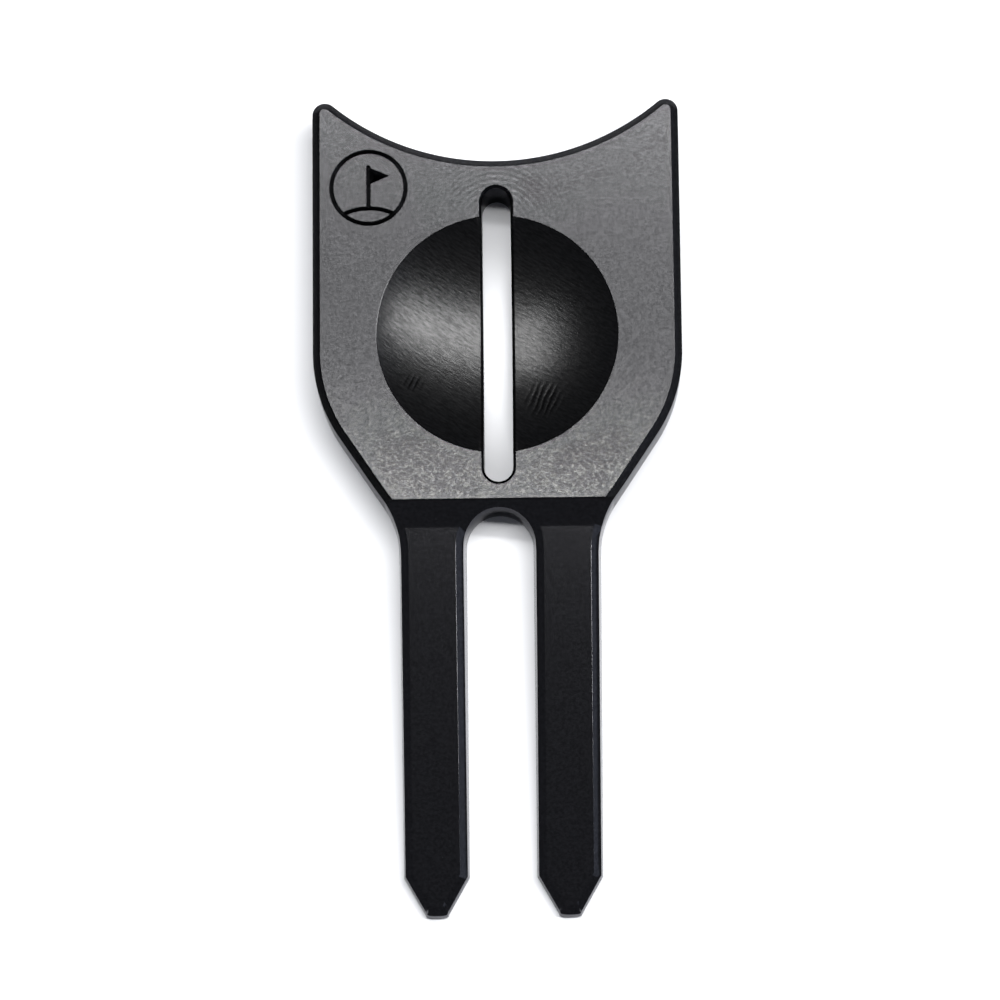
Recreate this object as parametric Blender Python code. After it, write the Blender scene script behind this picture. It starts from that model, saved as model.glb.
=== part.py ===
"""Divot repair tool, milled in one piece from aluminium plate and anodised black.

The head is a flat plate with a hollowed end that cradles the grip of a club, a
spherical seat for a golf ball and a slot through which a line is drawn on the
ball. Two wedge-shaped tines with pointed tips grow out of the other end.

Frame: metres, +Z up. The tool lies on its back face, z = 0. The head points
towards +Y and the tines towards -Y, and the origin is below the centre of the box.
"""

import math

import bmesh
import bpy
from mathutils import Matrix, Vector

MM = 0.001

# Plate
LENGTH = 84.6 * MM
HEAD_WIDTH = 38.1 * MM
THICKNESS = 6.35 * MM
FRONT_CHAMFER = 0.7 * MM
BACK_CHAMFER = 0.4 * MM

# Outline of the head and the neck
REST_RADIUS = 26.4 * MM
HORN_RADIUS = 1.3 * MM
SHOULDER_RADIUS = 16.0 * MM
NECK_RADIUS = 9.0 * MM
NECK_SLOPE = math.radians(33.8)
NECK_MEETS_TINE_Y = -2.1 * MM

# Tines
TINE_HALF_SPREAD_ROOT = 10.44 * MM
TINE_HALF_SPREAD_TIP = 10.15 * MM
GAP_RADIUS = 3.45 * MM
GAP_CENTRE_Y = -4.2 * MM
TIP_LENGTH = 4.1 * MM
TIP_WIDTH = 2.0 * MM

# Relief that thins the tines, seen from the side
RELIEF_TOP_Y = 0.1 * MM
RAMP_LENGTH = 2.5 * MM
TINE_ROOT_THICKNESS = 5.1 * MM
TINE_TIP_THICKNESS = 2.0 * MM

# Golf ball seat and the slot through it
BALL_RADIUS = 21.335 * MM
SEAT_RADIUS = 12.5 * MM
SEAT_Y = 17.35 * MM
SLOT_WIDTH = 3.0 * MM
SLOT_LENGTH = 31.0 * MM
SLOT_CHAMFER = 0.28 * MM

# Engraved badge: a flagstick on a green inside a ring
BADGE_X = -13.2 * MM
BADGE_Y = 33.0 * MM
BADGE_RADIUS = 3.85 * MM
GROOVE_WIDTH = 0.45 * MM
POLE_HEIGHT = 4.4 * MM
PENNANT_LENGTH = 1.9 * MM
PENNANT_DROP = 1.5 * MM
GREEN_RADIUS = 6.0 * MM

# How far a cutter reaches past the metal, and what counts as one point or one plane
CLEAR = 2.0 * MM
WELD = 0.001 * MM
FLAT_ANGLE = 0.0005


def arc(centre, radius, start, end, steps):
    """Points on a circle from angle start to angle end, both included."""
    angles = (start + (end - start) * k / steps for k in range(steps + 1))
    return [(centre[0] + radius * math.cos(a), centre[1] + radius * math.sin(a)) for a in angles]


def right_half_outline():
    """The right half of the outline, from the rest's lowest point down to the crown of the gap."""
    side = HEAD_WIDTH / 2
    quarter = math.pi / 2

    # The hollowed end and the horn touch: their centres are one sum of radii apart.
    horn = (side - HORN_RADIUS, LENGTH / 2 - HORN_RADIUS)
    rise = math.sqrt((REST_RADIUS + HORN_RADIUS) ** 2 - horn[0] ** 2)
    rest = (0.0, horn[1] + rise)
    rest_end = -math.acos(horn[0] / (REST_RADIUS + HORN_RADIUS))
    points = arc(rest, REST_RADIUS, -quarter, rest_end, 18)
    points += arc(horn, HORN_RADIUS, math.pi + rest_end, 0.0, 9)[1:]

    # The shoulder rounds the corner between the straight side and the sloping neck.
    root = TINE_HALF_SPREAD_ROOT
    corner_y = NECK_MEETS_TINE_Y + (side - root) / math.tan(NECK_SLOPE)
    tangent = math.tan(NECK_SLOPE / 2)
    shoulder = (side - SHOULDER_RADIUS, corner_y + SHOULDER_RADIUS * tangent)
    points += arc(shoulder, SHOULDER_RADIUS, 0.0, -NECK_SLOPE, 10)

    # The neck runs into the tine's outer edge through a hollow radius.
    neck = (root + NECK_RADIUS, NECK_MEETS_TINE_Y - NECK_RADIUS * tangent)
    points += arc(neck, NECK_RADIUS, math.pi - NECK_SLOPE, math.pi, 9)

    # The tine narrows a little to its shoulders and then quickly to its blunt point.
    tip_y = -LENGTH / 2
    middle = (TINE_HALF_SPREAD_TIP + GAP_RADIUS) / 2
    points += [
        (TINE_HALF_SPREAD_TIP, tip_y + TIP_LENGTH),
        (middle + TIP_WIDTH / 2, tip_y),
        (middle - TIP_WIDTH / 2, tip_y),
        (GAP_RADIUS, tip_y + TIP_LENGTH),
    ]
    return points + arc((0.0, GAP_CENTRE_Y), GAP_RADIUS, 0.0, quarter, 14)


def whole_outline():
    """The right half and its mirror image, as one closed ring of points."""
    right = right_half_outline()
    left = [(-x, y) for x, y in reversed(right[1:-1])]
    return right + left


def relief_profile():
    """Side view, as (y, z), of the metal milled off the front of the tines."""
    # A straight ramp leads from the ridge down to the tines' sloping face.
    foot_y = RELIEF_TOP_Y - RAMP_LENGTH
    slope = (TINE_ROOT_THICKNESS - TINE_TIP_THICKNESS) / (foot_y + LENGTH / 2)
    end = -LENGTH / 2 - CLEAR
    return [
        (RELIEF_TOP_Y, THICKNESS + CLEAR),
        (RELIEF_TOP_Y, THICKNESS),
        (foot_y, TINE_ROOT_THICKNESS),
        (end, TINE_TIP_THICKNESS - CLEAR * slope),
        (end, THICKNESS + CLEAR),
    ]


def solid_from(name, curve, collection, matrix=None):
    """Turns a curve into a closed mesh object: its caps are welded and its faces point out."""
    drawn = bpy.data.objects.new(name, curve)
    collection.objects.link(drawn)
    bpy.context.view_layer.update()
    evaluated = drawn.evaluated_get(bpy.context.evaluated_depsgraph_get())
    mesh = bpy.data.meshes.new_from_object(evaluated)
    bpy.data.objects.remove(drawn)

    bm = bmesh.new()
    bm.from_mesh(mesh)
    if matrix is not None:
        bm.transform(matrix)
    bmesh.ops.remove_doubles(bm, verts=bm.verts, dist=WELD)
    bmesh.ops.recalc_face_normals(bm, faces=bm.faces)
    bm.to_mesh(mesh)
    bm.free()
    solid = bpy.data.objects.new(name, mesh)
    collection.objects.link(solid)
    return solid


def flat_solid(name, points, low, high, collection, matrix=Matrix.Identity(4)):
    """A flat outline, filled and extruded from z = low to z = high, then moved by the matrix."""
    curve = bpy.data.curves.new(name, "CURVE")
    curve.dimensions = "2D"
    curve.fill_mode = "BOTH"
    curve.extrude = (high - low) / 2
    spline = curve.splines.new("POLY")
    spline.points.add(len(points) - 1)
    for point, (x, y) in zip(spline.points, points):
        point.co = (x, y, 0.0, 1.0)
    spline.use_cyclic_u = True
    lifted = matrix @ Matrix.Translation((0.0, 0.0, (low + high) / 2))
    return solid_from(name, curve, collection, lifted)


def round_groove(name, points, collection):
    """A cutter for an engraved line: a round bar whose axis follows the points on the front face."""
    curve = bpy.data.curves.new(name, "CURVE")
    curve.dimensions = "3D"
    curve.bevel_depth = GROOVE_WIDTH / 2
    curve.bevel_resolution = 2
    curve.use_fill_caps = True
    spline = curve.splines.new("POLY")
    spline.points.add(len(points) - 1)
    for point, (x, y) in zip(spline.points, points):
        point.co = (x, y, THICKNESS, 1.0)
    return as_cutter(solid_from(name, curve, collection))


def as_cutter(cutter):
    """Marks an object as a tool that only cuts."""
    cutter.hide_render = True
    cutter.display_type = "WIRE"
    return cutter


def cut(body, cutter):
    """Takes the cutter's volume out of the body."""
    modifier = body.modifiers.new("cut_" + cutter.name, "BOOLEAN")
    modifier.operation = "DIFFERENCE"
    modifier.solver = "EXACT"
    modifier.object = cutter


def settle(body):
    """Replaces the body's mesh with what its modifiers make of it."""
    bpy.context.view_layer.update()
    evaluated = body.evaluated_get(bpy.context.evaluated_depsgraph_get())
    mesh = bpy.data.meshes.new_from_object(evaluated)
    body.modifiers.clear()
    body.data = mesh


def chamfer_outline(body, side, width):
    """Chamfers the ring of edges between the upright walls and the front (side 1) or back (-1)."""
    bm = bmesh.new()
    bm.from_mesh(body.data)
    bmesh.ops.remove_doubles(bm, verts=bm.verts, dist=WELD)
    bmesh.ops.dissolve_limit(bm, angle_limit=FLAT_ANGLE, verts=bm.verts, edges=bm.edges)
    bm.normal_update()
    ring = []
    for edge in bm.edges:
        wall, face = sorted(side * neighbour.normal.z for neighbour in edge.link_faces)
        if abs(wall) < 0.01 and face > 0.1:
            ring.append(edge)
    bmesh.ops.bevel(
        bm,
        geom=ring,
        offset=width,
        offset_type="OFFSET",
        segments=1,
        profile=0.5,
        affect="EDGES",
        clamp_overlap=False,
    )
    bmesh.ops.recalc_face_normals(bm, faces=bm.faces)
    bm.to_mesh(body.data)
    bm.free()


def ball(collection):
    """The seat's cutter: a golf ball sunk into the head until it is as wide as the seat."""
    lift = math.sqrt(BALL_RADIUS**2 - SEAT_RADIUS**2)
    mesh = bpy.data.meshes.new("ball")
    bm = bmesh.new()
    bmesh.ops.create_uvsphere(bm, u_segments=72, v_segments=80, radius=BALL_RADIUS)
    bm.transform(Matrix.Translation((0.0, SEAT_Y, THICKNESS + lift)))
    bm.to_mesh(mesh)
    bm.free()
    mesh.shade_smooth()
    cutter = bpy.data.objects.new("ball", mesh)
    collection.objects.link(cutter)
    return as_cutter(cutter)


def slot_end_centre(y):
    """The centre of the slot's round end that is nearer to y."""
    return SEAT_Y + math.copysign((SLOT_LENGTH - SLOT_WIDTH) / 2, y - SEAT_Y)


def slot_outline(half_width):
    """A ring of points round both ends of the slot, half_width from the line between them."""
    top = arc((0.0, slot_end_centre(LENGTH)), half_width, 0.0, math.pi, 12)
    bottom = arc((0.0, slot_end_centre(-LENGTH)), half_width, math.pi, 2 * math.pi, 12)
    return top + bottom


def slot(collection):
    """The slot's cutter, through the whole plate."""
    outline = slot_outline(SLOT_WIDTH / 2)
    return as_cutter(flat_solid("slot", outline, -CLEAR, THICKNESS + CLEAR, collection))


def slot_mouth(collection):
    """A cutter with 45 degree sides that breaks the slot's edge at the front face."""
    # It starts inside the slot, so that its sides cross the slot's walls at an angle.
    narrow = SLOT_WIDTH / 4
    low = THICKNESS - SLOT_CHAMFER - (SLOT_WIDTH / 2 - narrow)
    high = THICKNESS + CLEAR
    wide = narrow + high - low
    mouth = flat_solid("slot_mouth", slot_outline(wide), low, high, collection)
    for vertex in mouth.data.vertices:
        if vertex.co.z < THICKNESS:
            centre = Vector((0.0, slot_end_centre(vertex.co.y), vertex.co.z))
            vertex.co = centre + (vertex.co - centre) * (narrow / wide)
    return as_cutter(mouth)


def badge(collection):
    """Cutters for the engraving: a ring, a flagpole with its pennant and the line of the green."""
    bpy.ops.mesh.primitive_torus_add(
        major_segments=56,
        minor_segments=8,
        major_radius=BADGE_RADIUS,
        minor_radius=GROOVE_WIDTH / 2,
        location=(BADGE_X, BADGE_Y, THICKNESS),
    )
    ring = bpy.context.object
    ring.name = "badge_ring"
    for old_home in list(ring.users_collection):
        old_home.objects.unlink(ring)
    collection.objects.link(as_cutter(ring))

    foot = BADGE_Y - POLE_HEIGHT / 2
    head = BADGE_Y + POLE_HEIGHT / 2
    pole = round_groove("badge_pole", [(BADGE_X, foot), (BADGE_X, head)], collection)
    hill = (BADGE_X, foot - GREEN_RADIUS)
    spread = math.radians(24.0)
    green_line = arc(hill, GREEN_RADIUS, math.pi / 2 + spread, math.pi / 2 - spread, 8)
    green = round_groove("badge_green", green_line, collection)
    hoist = BADGE_X + GROOVE_WIDTH
    fly = (hoist + PENNANT_LENGTH, head - PENNANT_DROP / 2)
    triangle = [(hoist, head), fly, (hoist, head - PENNANT_DROP)]
    low = THICKNESS - GROOVE_WIDTH / 2
    pennant = as_cutter(flat_solid("badge_pennant", triangle, low, THICKNESS + CLEAR, collection))
    return [ring, pole, green, pennant]


def black_anodised():
    """Aluminium with a black anodised skin."""
    material = bpy.data.materials.new("black_anodised_aluminium")
    material.use_nodes = True
    shader = material.node_tree.nodes["Principled BSDF"]
    shader.inputs["Base Color"].default_value = (0.035, 0.035, 0.038, 1.0)
    shader.inputs["Metallic"].default_value = 0.6
    shader.inputs["Roughness"].default_value = 0.38
    return material


for old in list(bpy.data.objects):
    bpy.data.objects.remove(old)
parts = bpy.data.collections.new("divot_repair_tool")
cutters = bpy.data.collections.new("cutters")
bpy.context.scene.collection.children.link(parts)
bpy.context.scene.collection.children.link(cutters)

# The plate is milled to the outline, its tines are thinned, and its edges are chamfered.
tool = flat_solid("tool_body", whole_outline(), 0.0, THICKNESS, parts)
side_view = Matrix(((0, 0, 1, 0), (1, 0, 0, 0), (0, 1, 0, 0), (0, 0, 0, 1)))
relief = flat_solid("relief", relief_profile(), -HEAD_WIDTH, HEAD_WIDTH, cutters, side_view)
cut(tool, as_cutter(relief))
settle(tool)
chamfer_outline(tool, 1, FRONT_CHAMFER)
chamfer_outline(tool, -1, BACK_CHAMFER)
tool.data.shade_smooth()
tool.data.set_sharp_from_angle(angle=math.radians(28.0))

# Then the seat, the slot and the badge are milled into the front of the head.
cut(tool, ball(cutters))
cut(tool, slot(cutters))
cut(tool, slot_mouth(cutters))
for tool_mark in badge(cutters):
    cut(tool, tool_mark)
tool.data.materials.append(black_anodised())
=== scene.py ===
"""The looks of a divot repair tool, milled in one piece from aluminium and anodised black.

Everything is in metres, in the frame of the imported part: the tool lies on its back face,
z = 0, with its head towards +Y and its tines towards -Y.
"""

import math

import bmesh
import bpy
import numpy as np
from mathutils import Matrix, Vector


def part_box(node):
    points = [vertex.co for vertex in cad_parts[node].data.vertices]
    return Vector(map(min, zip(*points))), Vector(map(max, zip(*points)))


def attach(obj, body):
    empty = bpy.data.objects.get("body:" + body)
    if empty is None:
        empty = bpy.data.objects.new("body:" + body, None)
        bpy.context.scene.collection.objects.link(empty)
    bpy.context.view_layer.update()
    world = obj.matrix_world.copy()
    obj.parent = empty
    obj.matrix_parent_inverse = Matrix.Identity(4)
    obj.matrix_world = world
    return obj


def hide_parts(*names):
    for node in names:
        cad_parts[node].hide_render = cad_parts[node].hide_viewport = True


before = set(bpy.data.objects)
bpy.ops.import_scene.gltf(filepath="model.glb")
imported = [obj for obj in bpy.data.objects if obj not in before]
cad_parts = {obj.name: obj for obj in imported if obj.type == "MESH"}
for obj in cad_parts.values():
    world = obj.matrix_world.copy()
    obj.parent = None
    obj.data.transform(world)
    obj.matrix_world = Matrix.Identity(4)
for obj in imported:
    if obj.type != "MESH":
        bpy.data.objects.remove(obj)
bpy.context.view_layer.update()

# ---------------------------------------------------------------------------------------
# The tool. The real one is a single piece of aluminium plate: a CNC mill cuts the outline,
# thins the tines, sinks the ball seat and the slot, breaks every edge and engraves the
# badge. The part is then tumbled a little and anodised black.
# ---------------------------------------------------------------------------------------

MM = 0.001
box_low, box_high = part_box("tool_body")
THICKNESS = box_high.z
HALF_WIDTH = box_high.x
END_Y = box_high.y
TIP_Y = box_low.y

# The outline of the head and the neck
REST_RADIUS = 26.4 * MM
HORN_RADIUS = 1.3 * MM
SHOULDER_RADIUS = 16.0 * MM
NECK_RADIUS = 9.0 * MM
NECK_SLOPE = math.radians(33.8)
NECK_MEETS_TINE_Y = -2.1 * MM

# The tines and the relief that thins them
TINE_ROOT_X = 10.44 * MM
TINE_TIP_X = 10.15 * MM
GAP_RADIUS = 3.45 * MM
GAP_CENTRE_Y = -4.2 * MM
TIP_LENGTH = 4.1 * MM
TIP_HALF_WIDTH = 1.0 * MM
TIP_CORNER = 0.4 * MM
RELIEF_TOP_Y = 0.1 * MM
RAMP_LENGTH = 2.5 * MM
TINE_ROOT_THICKNESS = 5.1 * MM
TINE_TIP_THICKNESS = 2.0 * MM

# How far the walls lean into the tines: at the tip, below the gap's crown and on the head
LEAN_Y = (TIP_Y, -5.0 * MM, 1.5 * MM)
LEAN = (0.16 * MM, 0.29 * MM, 0.0)

# The ball seat and the slot
BALL_RADIUS = 21.335 * MM
SEAT_RADIUS = 12.5 * MM
SEAT_Y = 17.35 * MM
SLOT_HALF_WIDTH = 1.5 * MM
SLOT_HALF_SPINE = 14.0 * MM

# The edges: how wide and deep each chamfer is and how far its corners are rounded
FRONT_CHAMFER = (0.78 * MM, 0.66 * MM)
BACK_CHAMFER = 0.4 * MM
SLOT_CHAMFER = (0.28 * MM, 0.28 * MM)
SLOT_BACK_CHAMFER = 0.2 * MM
EDGE_ROUND = 0.05 * MM
SLOT_ROUND = 0.12 * MM
RIM_ROUND = 0.03 * MM
RIM_REACH = 1.6 * RIM_ROUND
FOOT_ROUND = 0.03 * MM

# Where the ramp crosses the outline, the front chamfer keeps only this share of its depth
EASE_Y = (-3.4 * MM, -2.2 * MM, -0.6 * MM, RELIEF_TOP_Y)
EASE_SHARE = (1.0, 0.5, 0.5, 1.0)

# Along the neck the inset turns from square to level between these heights
LEVEL_FROM_Y = 6.0 * MM
LEVEL_TO_Y = 1.5 * MM

# The narrow strip of flat face beside a chamfer, how the seat's rows crowd towards its
# rim, and what counts as one point
SEAM = 0.04 * MM
CROWDING = 1.8
WELD = 0.0015 * MM


def smooth_lower(a, b, width):
    """The lower of a and b. Where they differ by less than width, a parabola joins them."""
    h = np.clip(0.5 + 0.5 * (b - a) / width, 0.0, 1.0)
    return b + (a - b) * h - width * h * (1.0 - h)


def relief_height(y):
    """Side view of the thinned tines: the higher of a straight ramp and a gentle slope."""
    foot_y = RELIEF_TOP_Y - RAMP_LENGTH
    drop = (THICKNESS - TINE_ROOT_THICKNESS) / RAMP_LENGTH
    slope = (TINE_ROOT_THICKNESS - TINE_TIP_THICKNESS) / (foot_y - TIP_Y)
    ramp = THICKNESS - (RELIEF_TOP_Y - y) * drop
    face = TINE_ROOT_THICKNESS - (foot_y - y) * slope
    return -smooth_lower(-ramp, -face, FOOT_ROUND)


def front_height(x, y):
    """Height of the front: the lowest of the plate, the relief and the ball in its seat.

    The ball's underside is z = plate + lift - sqrt(R^2 - r^2), r measured from the seat.
    """
    lift = math.sqrt(BALL_RADIUS**2 - SEAT_RADIUS**2)
    r2 = x**2 + (y - SEAT_Y) ** 2
    ball = THICKNESS + lift - np.sqrt(np.maximum(BALL_RADIUS**2 - r2, 0.0))
    return smooth_lower(np.minimum(THICKNESS, relief_height(y)), ball, RIM_ROUND)


def rounded(corners, radii, steps):
    """A bent line with each inner corner c rounded: c + t (f^2 w - (1 - f)^2 u), f = 0..1.

    u and w are the directions into and out of the corner, and t = radius tan(turn / 2).
    """
    f = np.linspace(0.0, 1.0, steps + 1)[:, None]
    rows = [corners[:1]]
    for before, corner, after, radius in zip(corners, corners[1:], corners[2:], radii):
        u = (corner - before) / np.linalg.norm(corner - before)
        w = (after - corner) / np.linalg.norm(after - corner)
        t = radius * math.tan(math.acos(float(u @ w)) / 2)
        rows.append(corner + t * (f**2 * w - (1 - f) ** 2 * u))
    return np.concatenate(rows + [corners[-1:]])


def edge_profile(front, back, radius):
    """Rows (inset, z above the front or the back, 1 for front or 0 for back) of an edge.

    They run from the front face over its chamfer, down the wall and over the back chamfer.
    front is the width and the depth of the front chamfer, and back both of the back one.
    """
    wide, deep = front
    reach = wide + radius * math.tan(math.pi / 8) + SEAM
    top = np.array([[reach, 0.0], [wide, 0.0], [0.0, -deep], [0.0, -deep - 3 * radius]])
    reach = back + radius / 2
    low = np.array([[0.0, back + 3 * radius], [0.0, back], [back, 0.0], [reach, 0.0]])
    top = rounded(top, [radius] * 2, 4)[:-1]
    low = rounded(low, [radius / 2] * 2, 3)[1:]
    top = np.column_stack([top, np.ones(len(top))])
    return np.concatenate([top, np.column_stack([low, np.zeros(len(low))])])


def rail(points, inward, lean):
    """An edge seen from above: rows (x, y, inset direction x and y, lean of the wall)."""
    return np.column_stack([points, inward, lean])


def inset(edge, distance, leaning):
    """The edge moved in, p + (distance + leaning lean) m: leaning is 1 in front, 0 behind."""
    return edge[:, :2] + (distance + leaning * edge[:, 4:]) * edge[:, 2:4]


def carried(edge, profile, share=1.0):
    """The profile carried along an edge: p(s) + (inset_k + front_k lean(s)) m(s), z by row.

    share(s) scales how deep the front chamfer goes.
    """
    shift = profile[:, 0] + profile[:, 2] * edge[:, 4:]
    xy = edge[:, None, :2] + shift[:, :, None] * edge[:, None, 2:4]
    z = profile[:, 1] * np.where(profile[:, 2] > 0, share, 1.0)
    z = z + profile[:, 2] * front_height(xy[..., 0], xy[..., 1])
    return np.concatenate([xy, z[..., None]], 2)


def ruled(a, b, stations):
    """The patch a(u) + v (b(u) - a(u)) between two lines, at the stations v."""
    return a[:, None, :] + stations[None, :, None] * (b - a)[:, None, :]


def raised(xy, front):
    """Adds the height to a flat grid: the front's own, or 0 on the back."""
    z = front_height(xy[..., 0], xy[..., 1]) if front else np.zeros(xy.shape[:-1])
    return np.concatenate([xy, z[..., None]], 2)


def bow(centre, radius, angles):
    """A round stretch of edge, c + r (cos a, sin a), and its outward directions."""
    out = np.stack([np.cos(angles), np.sin(angles)], 1)
    return centre + radius * out, out


def mitre(a, b):
    """The inset direction (a + b) / (1 + a.b) that serves both sides of a corner."""
    return (a + b) / (1.0 + a @ b)


def slot_edge(angle, half_width):
    """The slot's wall, opposite where rays from the seat's middle cross x = half_width.

    On the straight side y = w tan(angle). On the round end r solves |r e - c| = w. The
    inset direction points away from the slot, square to its wall.
    """
    c, s = np.cos(angle), np.sin(angle)
    y = half_width * s / np.maximum(c, 1e-9)
    on_side = np.abs(y) <= SLOT_HALF_SPINE
    r = SLOT_HALF_SPINE * np.abs(s)
    r = r + np.sqrt(np.maximum(half_width**2 - (SLOT_HALF_SPINE * c) ** 2, 0.0))
    turn = np.where(on_side, 0.0, np.arctan2(r * s - np.sign(s) * SLOT_HALF_SPINE, r * c))
    spine_y = SEAT_Y + np.where(on_side, y, np.sign(s) * SLOT_HALF_SPINE)
    spine = np.stack([np.zeros_like(spine_y), spine_y], 1)
    points, out = bow(spine, SLOT_HALF_WIDTH, turn)
    return rail(points, out, np.zeros(len(spine)))


def neck_row(y):
    """The outer edge at height y, x = c - sqrt(r^2 - (y - y_c)^2), with a level inset.

    Below the neck's radius it runs in a straight line to the tip's taper.
    """
    centre_y = NECK_MEETS_TINE_Y - NECK_RADIUS * math.tan(NECK_SLOPE / 2)
    rise = np.clip((y - centre_y) / NECK_RADIUS, 0.0, 1.0)
    cosine = np.sqrt(1.0 - rise**2)
    share = np.clip((centre_y - y) / (centre_y - TIP_Y - TIP_LENGTH), 0.0, 1.0)
    x = TINE_ROOT_X + NECK_RADIUS * (1.0 - cosine) - share * (TINE_ROOT_X - TINE_TIP_X)
    return np.stack([x, y], 1), np.stack([-1.0 / cosine, 0 * y], 1)


def head_edge(reach, seen):
    """The edge from the middle of the rest to the ridge: arcs c + r (cos a, sin a) and lines.

    Moved in by reach, its first points lie where rays from the seat's middle at the angles
    seen meet it. On the way down the neck the inset turns level, so that the ridge falls
    between two columns.
    """
    # The rest: first the columns that meet the slot's end, then even ones
    horn = np.array([HALF_WIDTH - HORN_RADIUS, END_Y - HORN_RADIUS])
    rest_y = horn[1] + math.sqrt((REST_RADIUS + HORN_RADIUS) ** 2 - horn[0] ** 2)
    far = rest_y - SEAT_Y
    r = far * np.sin(seen)
    r = r - np.sqrt((REST_RADIUS + reach) ** 2 - (far * np.cos(seen)) ** 2)
    first = np.arctan2(r * np.sin(seen) - far, r * np.cos(seen))
    meet = -math.acos(horn[0] / (REST_RADIUS + HORN_RADIUS))
    angles = np.concatenate([first, np.linspace(first[-1], meet, 46)[1:]])
    rest, rest_out = bow((0.0, rest_y), REST_RADIUS, angles)

    # The horn, the straight side and the shoulder
    tangent = math.tan(NECK_SLOPE / 2)
    corner_y = NECK_MEETS_TINE_Y + (HALF_WIDTH - TINE_ROOT_X) / math.tan(NECK_SLOPE)
    shoulder_at = (HALF_WIDTH - SHOULDER_RADIUS, corner_y + SHOULDER_RADIUS * tangent)
    tip, tip_out = bow(horn, HORN_RADIUS, np.linspace(math.pi + meet, 0.0, 31)[1:])
    y = np.linspace(horn[1], shoulder_at[1], 32)[1:-1]
    side = np.stack([np.full_like(y, HALF_WIDTH), y], 1)
    side_in = np.tile([-1.0, 0.0], (len(y), 1))
    angles = np.linspace(0.0, -NECK_SLOPE, 23)
    shoulder, shoulder_out = bow(shoulder_at, SHOULDER_RADIUS, angles)

    # The straight neck, and the ridge's end on the hollow radius below it
    bend = np.array([TINE_ROOT_X + NECK_RADIUS, NECK_MEETS_TINE_Y - NECK_RADIUS * tangent])
    bend = bend + NECK_RADIUS * np.array([-math.cos(NECK_SLOPE), math.sin(NECK_SLOPE)])
    neck = ruled(shoulder[-1:], bend[None], np.linspace(0.0, 1.0, 21)[1:])[0]
    square = -shoulder_out[-1]
    level = (LEVEL_FROM_Y - neck[:, 1]) / (LEVEL_FROM_Y - LEVEL_TO_Y)
    level = np.clip(level, 0.0, 1.0)[:, None]
    level = level**2 * (3 - 2 * level)
    neck_in = square + level * (np.array([1.0 / square[0], 0.0]) - square)
    ridge, ridge_in = neck_row(np.array([RELIEF_TOP_Y]))

    points = np.concatenate([rest, tip, side, shoulder, neck, ridge])
    inward = [rest_out, -tip_out, side_in, -shoulder_out, neck_in, ridge_in]
    inward = np.concatenate(inward)
    lean = np.interp(points[:, 1], LEAN_Y, LEAN) / np.abs(inward[:, 0]).clip(1.0)
    return rail(points, inward, lean)


def tine_edges(reach):
    """A tine's outer and inner edges, row by row, and the heights of the rows over the crown.

    The inner edge goes round the gap's crown, g + r (sin phi, cos phi). Then both go down
    the sides and along the tapers, p + t (blunt - p), to the blunt point.
    """
    phi = np.linspace(0.0, math.pi / 2, 29)
    crown_out = np.stack([np.sin(phi), np.cos(phi)], 1)
    crown = (0.0, GAP_CENTRE_Y) + GAP_RADIUS * crown_out
    crown_lean = np.interp(crown[:, 1], LEAN_Y, LEAN) * np.sin(phi)
    crown_y = inset(rail(crown, crown_out, crown_lean), reach, 1.0)[:, 1]
    middle_y = np.linspace(RELIEF_TOP_Y, crown_y[0], 4)[:-1]
    side_y = np.linspace(GAP_CENTRE_Y, TIP_Y + TIP_LENGTH, 36)[1:]
    outer, outer_in = neck_row(np.concatenate([middle_y, crown_y, side_y]))
    inner = np.concatenate([crown, np.stack([np.full_like(side_y, GAP_RADIUS), side_y], 1)])
    inner_in = np.concatenate([crown_out, np.tile([1.0, 0.0], (len(side_y), 1))])

    # The tapers
    middle_x = (TINE_TIP_X + GAP_RADIUS) / 2
    run = np.array([middle_x + TIP_HALF_WIDTH - TINE_TIP_X, -TIP_LENGTH])
    out = np.array([run[1], -run[0]]) / np.linalg.norm(run)
    t = np.linspace(0.0, 1.0, 9)[1:]
    edges = []
    for points, inward, side in ((outer, outer_in, 1.0), (inner, inner_in, -1.0)):
        slant = out * (side, 1.0)
        inward[-1] = mitre(inward[-1] / np.linalg.norm(inward[-1]), slant)
        blunt = np.array([[middle_x + side * TIP_HALF_WIDTH, TIP_Y]])
        blunt_in = mitre(slant, np.array([0.0, 1.0]))[None]
        more = ruled(points[-1:], blunt, t * (1 - TIP_CORNER / TIP_LENGTH))[0]
        points = np.concatenate([points, more])
        inward = np.concatenate([inward, ruled(inward[-1:], blunt_in, t)[0]])
        edges.append(rail(points, inward, np.interp(points[:, 1], LEAN_Y, LEAN)))
    outer, inner = edges
    outer[:, 4] /= np.abs(outer[:, 2]).clip(1.0)
    inner[: len(phi), 4] = crown_lean
    outer[-len(t) - 1 :, 4] = inner[-len(t) - 1 :, 4]
    return outer, inner, middle_y


def blunt_edge(inner, outer, v):
    """The blunt point from the outer edge, v = 1, to the inner one, v = 0.

    It drops below them by corner (1 - |2 v - 1|^3)^(1/3), which rounds both corners.
    """
    edge = inner[-1] + v[:, None] * (outer[-1] - inner[-1])
    edge[:, 1] -= TIP_CORNER * (1 - np.abs(2 * v - 1) ** 3) ** (1 / 3)
    return edge


def tine_face(inner, outer, tip, stations, front):
    """The ruled patch between a tine's two edges, and one more row that follows its tip."""
    end = np.concatenate([inner[-1:], tip[::-1], outer[-1:]])
    return raised(np.concatenate([ruled(inner, outer, stations), end[None]]), front)


def with_middle(y, edge):
    """The edge with points on the tool's middle line, x = 0, put before it."""
    return np.concatenate([np.stack([0 * y, y], 1), edge])


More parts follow.
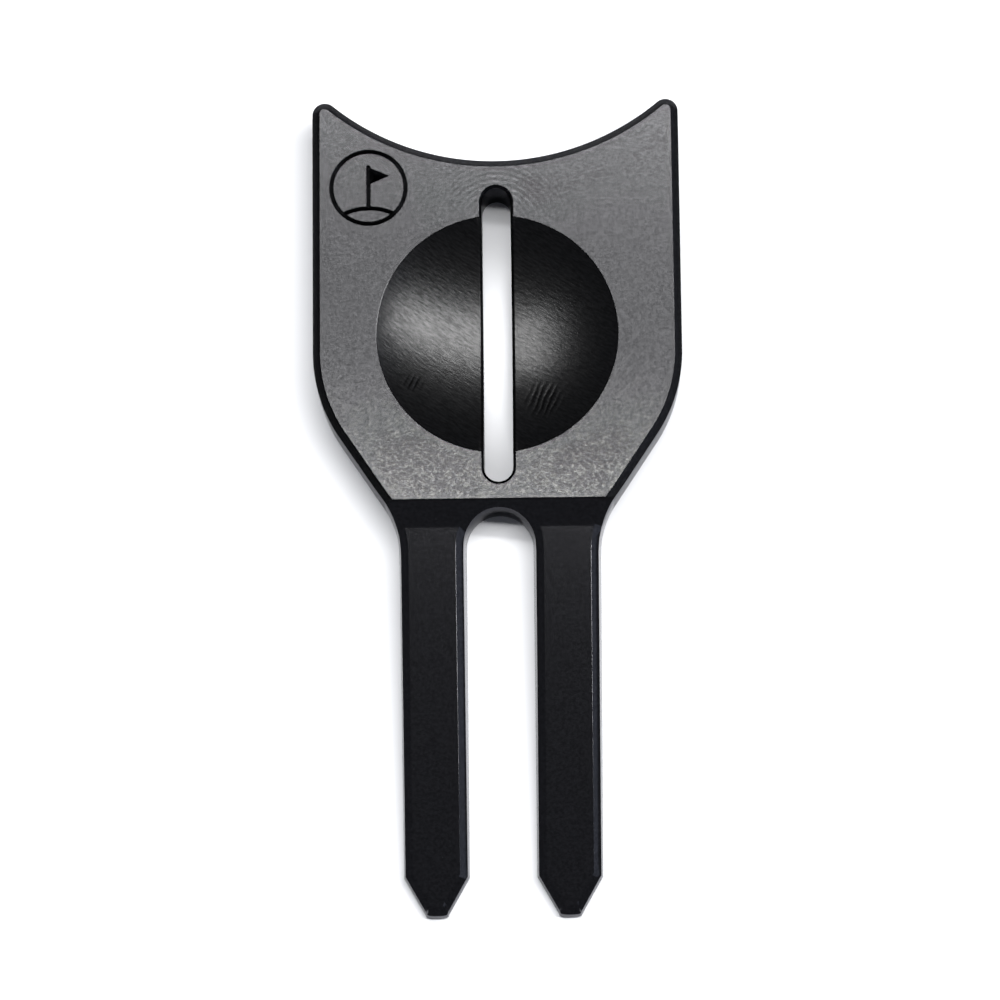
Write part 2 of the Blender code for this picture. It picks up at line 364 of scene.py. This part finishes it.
def half_tool():
    """The right half of the tool, x >= 0, as grids of points that share their borders.

    The head is a fan of columns round the seat's middle, and the tine is a stack of rows.
    """
    rim = edge_profile(FRONT_CHAMFER, BACK_CHAMFER, EDGE_ROUND)
    mouth = edge_profile(SLOT_CHAMFER, SLOT_BACK_CHAMFER, SLOT_ROUND)
    reach, back_reach = rim[0, 0], rim[-1, 0]
    slot_reach = mouth[0, 0]
    wide = SLOT_HALF_WIDTH + slot_reach
    seat_edge = SEAT_RADIUS + RIM_REACH
    seat = np.array([0.0, SEAT_Y])

    # Directions, seen from the seat's middle, of the slot's round end and of the corner
    # where the slot leaves the seat
    corner = math.acos(wide / seat_edge)
    turn = np.linspace(math.pi / 2, 0.0, 11)
    end_seen = np.arctan2(SLOT_HALF_SPINE + wide * np.sin(turn), wide * np.cos(turn))
    end_seen = np.concatenate([end_seen, np.linspace(end_seen[-1], corner, 4)[1:]])
    head = head_edge(reach, end_seen)

    # Across the ridge: stations from the middle, 0, to the outer edge, 1
    ridge_x = inset(head[-1:], reach, 1.0)[0, 0]
    ridge_back_x = inset(head[-1:], back_reach, 0.0)[0, 0]
    slot_seen = (SEAT_Y - RELIEF_TOP_Y) / np.tan(end_seen) / ridge_x
    across = np.concatenate([slot_seen, np.linspace(slot_seen[-1], 1.0, 16)[1:]])
    across[0] = 0.0

    # The outer wall, all the way round
    outer, inner, middle_y = tine_edges(reach)
    blunt = blunt_edge(inner, outer, across[::-1][1:-1])
    whole = np.concatenate([head, outer[1:], blunt, inner[::-1]])
    share = np.interp(whole[:, 1], EASE_Y, EASE_SHARE)
    grids = [carried(whole, rim, share[:, None])]

    # The head's front: from the slot or the seat out to the edge or the ridge, with narrow
    # strips at both ends
    ridge = across[::-1][1:, None]
    loop = np.concatenate([inset(head, reach, 1.0), ridge * (ridge_x, 0.0) + (0.0, RELIEF_TOP_Y)])
    seen = np.arctan2(loop[:, 1] - SEAT_Y, loop[:, 0])
    ray = np.stack([np.cos(seen), np.sin(seen)], 1)
    slot = slot_edge(seen, wide)
    slot_rim = inset(slot, slot_reach, 0.0)
    in_seat = np.abs(seen) <= corner + 1e-9
    inside = np.where(in_seat[:, None], seat + seat_edge * ray, slot_rim)
    stations = np.concatenate([[0.0, 0.01], np.linspace(0.08, 0.92, 12), [0.985, 1.0]])
    grids.append(raised(ruled(inside, loop, stations), True))

    # The seat's bowl, from its rim in to the slot
    near = np.linalg.norm(slot_rim - seat, axis=1)[in_seat]
    t = np.linspace(0.0, 1.0, 36) ** CROWDING
    r = seat_edge + (near[:, None] - seat_edge) * t[None, :]
    grids.append(raised(seat + r[..., None] * ray[in_seat][:, None, :], True))

    # The slot's wall and the head's back
    grids.append(carried(slot, mouth))
    back = ridge * (ridge_back_x, 0.0) + (0.0, RELIEF_TOP_Y)
    back = np.concatenate([inset(head, back_reach, 0.0), back])
    slot_back = inset(slot, mouth[-1, 0], 0.0)
    grids.append(raised(ruled(slot_back, back, np.linspace(0.0, 1.0, 6)), False))

    # The tine's front and back
    for depth, leaning, front in ((reach, 1.0, True), (back_reach, 0.0, False)):
        inside = inset(inner, depth, leaning)
        middle_y = np.linspace(RELIEF_TOP_Y, inside[0, 1], len(middle_y) + 1)[:-1]
        inside = with_middle(middle_y, inside)
        outside, tip = inset(outer, depth, leaning), inset(blunt, depth, leaning)
        grids.append(tine_face(inside, outside, tip, across, front))
    return grids


def closed_mesh(name, grids):
    """One mesh from grids of points: quads between neighbours, borders welded, faces out."""
    points, quads, count = [], [], 0
    for grid in grids:
        rows, columns = grid.shape[:2]
        index = count + np.arange(rows * columns).reshape(rows, columns)
        corners = [index[:-1, :-1], index[1:, :-1], index[1:, 1:], index[:-1, 1:]]
        quads.append(np.stack(corners, -1).reshape(-1, 4))
        points.append(grid.reshape(-1, 3))
        count += rows * columns
    mesh = bpy.data.meshes.new(name)
    mesh.from_pydata(np.concatenate(points).tolist(), [], np.concatenate(quads).tolist())
    bm = bmesh.new()
    bm.from_mesh(mesh)
    bmesh.ops.remove_doubles(bm, verts=bm.verts, dist=WELD)
    bmesh.ops.recalc_face_normals(bm, faces=bm.faces)
    bm.to_mesh(mesh)
    bm.free()
    return mesh


def linked(name, mesh):
    """A new object in the scene, at the origin, with its place in its mesh."""
    piece = bpy.data.objects.new(name, mesh)
    bpy.context.scene.collection.objects.link(piece)
    return piece


right = half_tool()
left = [grid * (-1.0, 1.0, 1.0) for grid in right]
tool = linked("milled_tool", closed_mesh("milled_tool", right + left))

# The badge. On the real tool an emblem is engraved in the head before anodising, with a
# fine V cutter. Here it is a flagstick on a green inside a ring.
BADGE_CENTRE = np.array([-13.2 * MM, 33.0 * MM])
BADGE_RADIUS = 3.85 * MM
GROOVE_DEPTH = 0.235 * MM
POLE_HALF_HEIGHT = 2.2 * MM
PENNANT_LENGTH = 2.2 * MM
PENNANT_DROP = 1.9 * MM
GREEN_RADIUS = 6.0 * MM
GREEN_SPREAD = math.radians(24.0)

# The grooves' depths differ by this share where they meet, so that no two faces coincide
DEPTH_STEP = 0.01

# Edges that turn more than this are shaded as sharp ones
SHARP_ANGLE = math.radians(25.0)


def ring_groove(centre, radius, bar):
    """A square bar on edge, bent round: centre + (radius + bar cos b)(cos a, sin a).

    Its height is z = plate + bar sin b, with b in quarter turns, so that it cuts a V.
    """
    a = np.linspace(0.0, 2 * math.pi, 181)[:, None]
    b = np.linspace(0.0, 2 * math.pi, 5)[None, :]
    r = radius + bar * np.cos(b)
    z = THICKNESS + bar * np.sin(b) + 0 * a
    return [np.stack([centre[0] + r * np.cos(a), centre[1] + r * np.sin(a), z], 2)]


def line_groove(points, bar):
    """A square bar on edge along a line, p(s) + bar (n cos b + up sin b), ends tapered."""
    t = np.gradient(points, axis=0)
    t /= np.linalg.norm(t, axis=1)[:, None]
    f = np.linspace(0.0, math.pi / 2, 5)
    head = points[0] - bar * np.cos(f)[:, None] * t[0]
    tail = points[-1] + bar * np.sin(f)[:, None] * t[-1]
    spine = np.concatenate([head, points[1:-1], tail])
    t = np.concatenate([np.tile(t[0], (5, 1)), t[1:-1], np.tile(t[-1], (5, 1))])
    size = bar * np.concatenate([np.sin(f), np.ones(len(points) - 2), np.cos(f)])
    n = np.stack([t[:, 1], -t[:, 0]], 1)
    b = np.linspace(0.0, 2 * math.pi, 5)
    xy = spine[:, None, :] + size[:, None, None] * np.cos(b)[None, :, None] * n[:, None, :]
    z = THICKNESS + size[:, None] * np.sin(b)[None, :]
    return [np.concatenate([xy, z[..., None]], 2)]


def pennant_pit(hoist, length, drop):
    """A V-carved triangle: corners i + 2 (c - i) at height r over the face, apex at i, -r.

    i is the middle of the circle that touches all three sides, and r is its radius.
    """
    r = length * drop / (drop + 2 * math.hypot(length, drop / 2))
    middle = hoist + (r, 0.0)
    corners = hoist + np.array([[0.0, drop], [0.0, -drop], [2 * length, 0.0], [0.0, drop]]) / 2
    corners = middle + 2 * (corners - middle)
    grid = np.empty((3, 4, 3))
    grid[..., :2] = middle
    grid[1, :, :2] = corners
    grid[..., 2] = THICKNESS + r * np.array([[1.0], [1.0], [-1.0]])
    return [grid]


pole_foot = BADGE_CENTRE - (0.0, POLE_HALF_HEIGHT)
pole_top = BADGE_CENTRE + (0.0, POLE_HALF_HEIGHT)
pole = pole_foot + np.linspace(0.0, 1.0, 9)[:, None] * (pole_top - pole_foot)
swing = np.linspace(math.pi / 2 + GREEN_SPREAD, math.pi / 2 - GREEN_SPREAD, 25)
green = bow(pole_foot - (0.0, GREEN_RADIUS), GREEN_RADIUS, swing)[0]
hoist = pole_top - (0.0, PENNANT_DROP / 2)
engraving = {
    "ring": ring_groove(BADGE_CENTRE, BADGE_RADIUS, GROOVE_DEPTH),
    "pole": line_groove(pole, GROOVE_DEPTH * (1 - DEPTH_STEP)),
    "green": line_groove(green, GROOVE_DEPTH * (1 + DEPTH_STEP)),
    "pennant": pennant_pit(hoist, PENNANT_LENGTH, PENNANT_DROP),
}
for name, grids in engraving.items():
    groove = tool.modifiers.new(name, "BOOLEAN")
    groove.operation = "DIFFERENCE"
    groove.solver = "EXACT"
    groove.object = linked(name, closed_mesh(name, grids))
bpy.context.view_layer.update()
engraved = tool.evaluated_get(bpy.context.evaluated_depsgraph_get())
engraved = bpy.data.meshes.new_from_object(engraved)
tool.modifiers.clear()
tool.data = engraved
for name in engraving:
    bpy.data.objects.remove(bpy.data.objects[name])
tool.data.shade_smooth()
tool.data.set_sharp_from_angle(angle=SHARP_ANGLE)

# The finish: black anodised aluminium. The dyed oxide is a hard skin a few hundredths of
# a millimetre thick over a milled surface, so the metal shows as a dark satin that goes
# grey where it mirrors a light and nearly black where it doesn't.
HEAD_DYE = "313132"
# Painted sheen: a lighter colour, in speckles, low on the head
SHEEN_COLOUR = "40403f"
# Painted highlight: the seat is coloured lighter than the head, to brighten what it mirrors
SEAT_PAINTED_HIGHLIGHT = "383838"
# Painted light: the tines are coloured lighter than the head, standing in for fill light they
# don't get
TINE_PAINTED_FILL = "4d4d4f"
BARE_SPOT = "707070"
EDGE_TINT = "b3b3b6"
HEAD_ROUGHNESS = 0.21
SEAT_ROUGHNESS = 0.29
TINE_ROUGHNESS = 0.085

# Sizes of the patterns in millimetres. The etched skin's pores and the dye's unevenness
# are a few hundredths of a millimetre wide, too fine to show, so the grain, the mottling
# and the speckles of painted sheen are drawn as coarse as they need to show. The rest is
# life-size.
GRAIN = 0.2222
MOTTLE = 0.3226
SHEEN_SPOT = 0.3846
STREAK_LENGTH = 0.8333
STREAK_WIDTH = 0.2333
RING_PITCH = 0.5712
CHATTER_PITCH = 0.6042
DUST_SPACING = 2.222

# How deep each pattern is, in metres, and the share of the grain that the tines keep
GRAIN_DEPTH = 0.0045 * MM
STREAK_DEPTH = 0.025 * MM
RING_DEPTH = 0.0028 * MM
CHATTER_DEPTH = 0.035 * MM
TINE_GRAIN = 0.4

# Where the marks are, in millimetres, and how they are turned. A pair of distances is
# where a mark begins to show and where it is full.
SEAT_BORDER = 0.1
RIDGE_BORDER = 0.3
RING_CENTRE = (0.0, 28.5, 0.0)
RINGS_FADE = (10.5, 4.0)
STREAK_TURN = math.radians(-33.0)
CHATTER_PATCHES = (((4.7, 10.8, 0.0), (2.3, 0.92)), ((-8.7, 12.6, 0.0), (1.2, 0.48)))
CHATTER_TURN = math.radians(24.0)
SHEEN_FADE_Y = (14.0, 3.0)
SCUFF_CENTRE = (-9.4, 2.4, 0.0)
SCUFF_FADE = (1.8, 0.6)
SCUFF_STRENGTH = 0.25
DUST_FADE = (0.1, 0.0667)


def linear(hex_colour):
    """An sRGB hex value as linear red, green, blue and alpha."""
    parts = [int(hex_colour[k : k + 2], 16) / 255 for k in (0, 2, 4)]
    return [c / 12.92 if c <= 0.04045 else ((c + 0.055) / 1.055) ** 2.4 for c in parts] + [1.0]


def add(tree, kind, inputs, **settings):
    """Adds a node: its properties from settings, its inputs each a socket or a plain value."""
    node = tree.nodes.new("ShaderNode" + kind)
    for key, value in settings.items():
        setattr(node, key, value)
    for key, value in inputs.items():
        if isinstance(value, bpy.types.NodeSocket):
            tree.links.new(value, node.inputs[key])
        else:
            node.inputs[key].default_value = value
    return node.outputs


material = bpy.data.materials.new("black_anodised_aluminium")
material.use_nodes = True
tree = material.node_tree
shader = tree.nodes["Principled BSDF"]

# The object's own coordinates in millimetres, and where the seat and the tines are
metres = add(tree, "TexCoord", {})["Object"]
mm = add(tree, "VectorMath", {0: metres, "Scale": 1 / MM}, operation="SCALE")[0]
flat = add(tree, "VectorMath", {0: mm, 1: (1.0, 1.0, 0.0)}, operation="MULTIPLY")[0]
along = add(tree, "SeparateXYZ", {0: mm})["Y"]
seat_centre, seat_rim = (0.0, SEAT_Y / MM, 0.0), SEAT_RADIUS / MM
off = add(tree, "VectorMath", {0: flat, 1: seat_centre}, operation="DISTANCE")["Value"]
in_seat = {"Value": off, "From Min": seat_rim, "From Max": seat_rim - SEAT_BORDER}
in_seat = add(tree, "MapRange", in_seat)[0]
ridge = RELIEF_TOP_Y / MM
on_tines = {"Value": along, "From Min": ridge, "From Max": ridge - RIDGE_BORDER}
on_tines = add(tree, "MapRange", on_tines)[0]

# The skin's grain, weaker on the smoother tines
grain = {"Vector": mm, "Scale": 1 / GRAIN, "Detail": 2.0, "Roughness": 0.6}
grain = add(tree, "TexNoise", grain)[0]
depth = add(tree, "Mix", {0: on_tines, 2: 1.0, 3: TINE_GRAIN})[0]
skin = add(tree, "Bump", {"Height": grain, "Strength": depth, "Distance": GRAIN_DEPTH})[0]

# Faint rings round the slot's far end, where the face mill lifted off. A wave texture
# repeats itself every pi / 10, so its scale is that over the pitch.
centre = [-c for c in RING_CENTRE]
rings = add(tree, "Mapping", {"Vector": flat, "Location": centre})[0]
rings = {"Vector": rings, "Scale": math.pi / 10 / RING_PITCH, "Distortion": 1.2}
rings = add(tree, "TexWave", rings, wave_type="RINGS", rings_direction="SPHERICAL")[1]
off = add(tree, "VectorMath", {0: flat, 1: RING_CENTRE}, operation="DISTANCE")["Value"]
fade = {"Value": off, "From Min": RINGS_FADE[0], "From Max": RINGS_FADE[1]}
fade = add(tree, "MapRange", fade)[0]
skin = {"Height": rings, "Strength": fade, "Distance": RING_DEPTH, "Normal": skin}
skin = add(tree, "Bump", skin)[0]

# Tool marks in the seat: short streaks left across it by the ball cutter. As a texture,
# the mapping turns the pattern and then squeezes it.
turned = {"Vector": mm, "Rotation": (0.0, 0.0, STREAK_TURN)}
turned["Scale"] = (1.0, STREAK_WIDTH / STREAK_LENGTH, 1.0)
turned = add(tree, "Mapping", turned, vector_type="TEXTURE")[0]
streaks = {"Vector": turned, "Scale": 1 / STREAK_LENGTH, "Detail": 4.0, "Roughness": 0.65}
streaks = add(tree, "TexNoise", streaks)[0]
skin = {"Height": streaks, "Strength": in_seat, "Distance": STREAK_DEPTH, "Normal": skin}
skin = add(tree, "Bump", skin)[0]

# Chatter: two patches of short ripples where the ball cutter trembled
patches = []
for centre, (begins, full) in CHATTER_PATCHES:
    off = add(tree, "VectorMath", {0: flat, 1: centre}, operation="DISTANCE")["Value"]
    patches.append(add(tree, "MapRange", {"Value": off, "From Min": begins, "From Max": full})[0])
patch = add(tree, "Math", {0: patches[0], 1: patches[1]}, operation="MAXIMUM")[0]
ripples = {"Vector": flat, "Rotation": (0.0, 0.0, CHATTER_TURN)}
ripples = add(tree, "Mapping", ripples)[0]
ripples = {"Vector": ripples, "Scale": math.pi / 10 / CHATTER_PITCH, "Distortion": 3.0}
ripples["Detail"] = 1.0
ripples = add(tree, "TexWave", ripples, wave_type="BANDS", bands_direction="X")[1]
skin = {"Height": ripples, "Strength": patch, "Distance": CHATTER_DEPTH, "Normal": skin}
tree.links.new(add(tree, "Bump", skin)[0], shader.inputs["Normal"])

# The seat is left rougher than the faces, and the thinned tines smoother
rough = add(tree, "Mix", {0: in_seat, 2: HEAD_ROUGHNESS, 3: SEAT_ROUGHNESS})[0]
rough = add(tree, "Mix", {0: on_tines, 2: rough, 3: TINE_ROUGHNESS})[0]
tree.links.new(rough, shader.inputs["Roughness"])

# Painted sheen: low on the head the face is painted lighter, in speckles, fading in towards the
# ridge
sheen = {"Value": along, "From Min": SHEEN_FADE_Y[0], "From Max": SHEEN_FADE_Y[1]}
sheen = add(tree, "MapRange", sheen)[0]
sheen_spots = {"Vector": mm, "Scale": 1 / SHEEN_SPOT, "Detail": 3.0, "Roughness": 0.65}
sheen_spots = add(tree, "TexNoise", sheen_spots)[0]
sheen_spots = add(tree, "MapRange", {"Value": sheen_spots, "From Min": 0.45, "From Max": 0.65})[0]
sheen = add(tree, "Math", {0: sheen, 1: sheen_spots}, operation="MULTIPLY")[0]
colour = {0: sheen, 6: linear(HEAD_DYE), 7: linear(SHEEN_COLOUR)}
colour = add(tree, "Mix", colour, data_type="RGBA")[2]
# Painted highlight: the seat gets a lighter colour than the head
colour = {0: in_seat, 6: colour, 7: linear(SEAT_PAINTED_HIGHLIGHT)}
colour = add(tree, "Mix", colour, data_type="RGBA")[2]
# Painted light: the tines get a lighter colour than the head
colour = {0: on_tines, 6: colour, 7: linear(TINE_PAINTED_FILL)}
colour = add(tree, "Mix", colour, data_type="RGBA")[2]

# Mottling: the dye takes a little unevenly, along the streaks in the seat
mottle = {"Vector": mm, "Scale": 1 / MOTTLE, "Detail": 3.0, "Roughness": 0.75}
mottle = add(tree, "TexNoise", mottle)[0]
mottle = add(tree, "Mix", {0: in_seat, 2: mottle, 3: streaks})[0]
mottle = {"Value": mottle, "From Min": 0.37, "From Max": 0.63, "To Min": 0.74, "To Max": 1.26}
mottle = add(tree, "MapRange", mottle)[0]
colour = add(tree, "VectorMath", {0: colour, "Scale": mottle}, operation="SCALE")[0]

# Painted shade: the floors of the chatter's ripples are painted darker
ripple_shade = add(tree, "MapRange", {"Value": ripples, "From Min": 0.45, "From Max": 0.1})[0]
ripple_shade = add(tree, "Math", {0: ripple_shade, 1: patch}, operation="MULTIPLY")[0]
ripple_shade = add(tree, "MapRange", {"Value": ripple_shade, "To Min": 1.0, "To Max": 0.35})[0]
colour = add(tree, "VectorMath", {0: colour, "Scale": ripple_shade}, operation="SCALE")[0]

# Specks of dust on the tines, and a scuff low on the head's left side
dust = add(tree, "TexVoronoi", {"Vector": mm, "Scale": 1 / DUST_SPACING})["Distance"]
begins, full = (off / DUST_SPACING for off in DUST_FADE)
dust = add(tree, "MapRange", {"Value": dust, "From Min": begins, "From Max": full})[0]
dust = add(tree, "Math", {0: dust, 1: on_tines}, operation="MULTIPLY")[0]
off = add(tree, "VectorMath", {0: flat, 1: SCUFF_CENTRE}, operation="DISTANCE")["Value"]
scuff = {"Value": off, "From Min": SCUFF_FADE[0], "From Max": SCUFF_FADE[1]}
scuff["To Max"] = SCUFF_STRENGTH
scuff = add(tree, "MapRange", scuff)[0]
rubs = add(tree, "MapRange", {"Value": streaks, "From Min": 0.58, "From Max": 0.64})[0]
scuff = add(tree, "Math", {0: scuff, 1: rubs}, operation="MULTIPLY")[0]
bare = add(tree, "Math", {0: dust, 1: scuff}, operation="MAXIMUM")[0]
colour = {0: bare, 6: colour, 7: linear(BARE_SPOT)}
colour = add(tree, "Mix", colour, data_type="RGBA")[2]
tree.links.new(colour, shader.inputs["Base Color"])

# Aluminium under a dark dye, which also dims what the metal mirrors at low angles
shader.inputs["Metallic"].default_value = 1.0
shader.inputs["Specular Tint"].default_value = linear(EDGE_TINT)
tool.data.materials.clear()
tool.data.materials.append(material)

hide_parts("tool_body")
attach(tool, "root")

# ---------------------------------------------------------------------------------------
# The stage: a pale sheet of paper to lie on, soft studio light and the camera. The level
# head mirrors two long tube lights. The tilted tines mirror nothing bright and stay dark,
# and a weak fill shows the right-hand walls.
# ---------------------------------------------------------------------------------------

FLOOR_HALF = 1.5
PAPER_WHITE = "f4f5f7"
ROOM_COLOUR = "e7eaf9"
ROOM_STRENGTH = 0.14
TUBE_SIZE = (1.9, 0.052)
FILL_SIZE = (0.6, 1.2)
LENS = 147.6
LOOK_AT = (0.11 * MM, -0.13 * MM, THICKNESS)
CAMERA_DISTANCE = 419.3 * MM
CAMERA_TILT = math.radians(10.5)
CAMERA_SWING = math.radians(4.0)
CAMERA_ROLL = math.radians(-4.68)

corners = FLOOR_HALF * np.array([[-1, -1, 0], [1, -1, 0], [1, 1, 0], [-1, 1, 0]])
floor_mesh = bpy.data.meshes.new("paper_floor")
floor_mesh.from_pydata(corners.tolist(), [], [[0, 1, 2, 3]])
floor = linked("paper_floor", floor_mesh)
paper = bpy.data.materials.new("matt_white_paper")
paper.use_nodes = True
paper_shader = paper.node_tree.nodes["Principled BSDF"]
paper_shader.inputs["Base Color"].default_value = linear(PAPER_WHITE)
paper_shader.inputs["Roughness"].default_value = 0.9
paper_shader.inputs["Specular IOR Level"].default_value = 0.2
floor_mesh.materials.append(paper)


def panel(name, direction, turn, distance, size, power, colour):
    """A rectangular light at distance times a direction given by two angles, facing the tool.

    direction = (tilt from straight up towards +Y, tilt towards +X), and turn spins its
    long side about its own axis, all in degrees.
    """
    light = bpy.data.lights.new(name, "AREA")
    light.shape = "RECTANGLE"
    light.size, light.size_y = size
    light.energy = power
    light.color = linear(colour)[:3]
    up_y, up_x, spin = (math.radians(angle) for angle in (*direction, turn))
    aim = Matrix.Rotation(-up_y, 4, "X") @ Matrix.Rotation(up_x, 4, "Y")
    place = Matrix.Translation((0.0, 0.0, distance)) @ Matrix.Rotation(spin, 4, "Z")
    linked(name, light).matrix_world = aim @ place


panel("near_tube", (5.4, 14.5), -5.2, 1.0, TUBE_SIZE, power=13.3, colour="ffffff")
panel("far_tube", (19.4, 14.5), -7.0, 1.0, TUBE_SIZE, power=11.8, colour="ffffff")
panel("right_fill", (0.0, 68.0), 0.0, 1.2, FILL_SIZE, power=0.8, colour="dfe8ff")

world = bpy.data.worlds.new("studio")
world.use_nodes = True
world.node_tree.nodes["Background"].inputs["Color"].default_value = linear(ROOM_COLOUR)
world.node_tree.nodes["Background"].inputs["Strength"].default_value = ROOM_STRENGTH
bpy.context.scene.world = world
bpy.context.scene.view_settings.view_transform = "Standard"

# The camera leans from straight above towards the tines and a little to the right
camera_data = bpy.data.cameras.new("camera")
camera_data.sensor_width = 36.0
camera_data.lens = LENS
camera_data.clip_start = 0.01
camera = linked("camera", camera_data)
lean = Matrix.Rotation(CAMERA_SWING, 4, "Z") @ Matrix.Rotation(CAMERA_TILT, 4, "X")
lean = lean @ Matrix.Rotation(CAMERA_ROLL, 4, "Z")
away = Matrix.Translation((0.0, 0.0, CAMERA_DISTANCE))
camera.matrix_world = Matrix.Translation(LOOK_AT) @ lean @ away
bpy.context.scene.camera = camera
